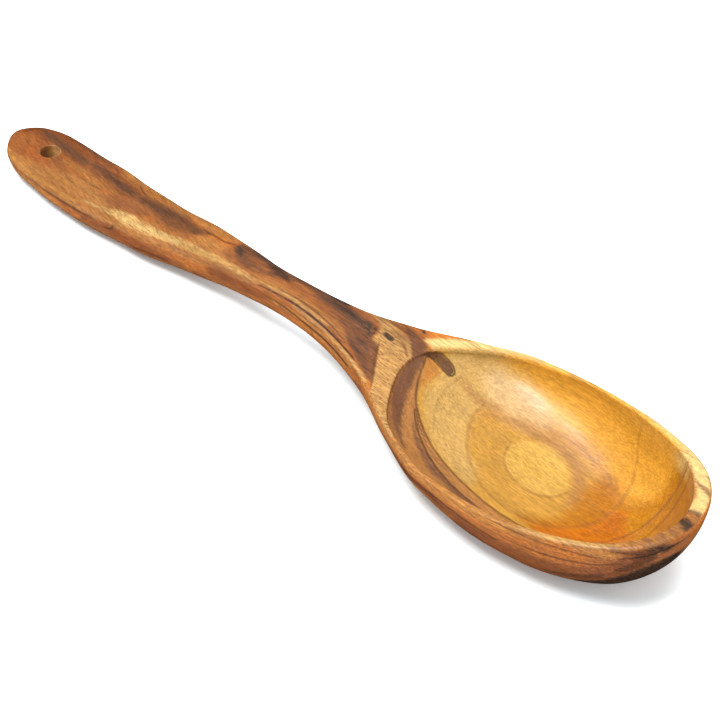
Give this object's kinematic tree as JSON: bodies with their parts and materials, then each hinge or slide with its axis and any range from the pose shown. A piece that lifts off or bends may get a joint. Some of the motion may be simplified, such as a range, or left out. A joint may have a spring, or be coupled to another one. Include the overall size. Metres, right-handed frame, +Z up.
{
  "type": "wooden serving spoon",
  "caption": "Hand-carved wooden serving spoon with a deep egg-shaped bowl, a narrow neck and a flat handle with a hanging hole.",
  "frame": {"origin": "bottom centre of the bounding box of the spoon lying on a table, hollow up", "axes": "+X along the spoon from the handle's end towards the bowl's tip, +Z up, out of the bowl's hollow"},
  "size_m": [0.3, 0.0694, 0.0376],
  "materials": {
    "oiled_wood": "satin"
  },
  "bodies": {
    "root": {"spoon": "oiled_wood"}
  },
  "joints": []
}
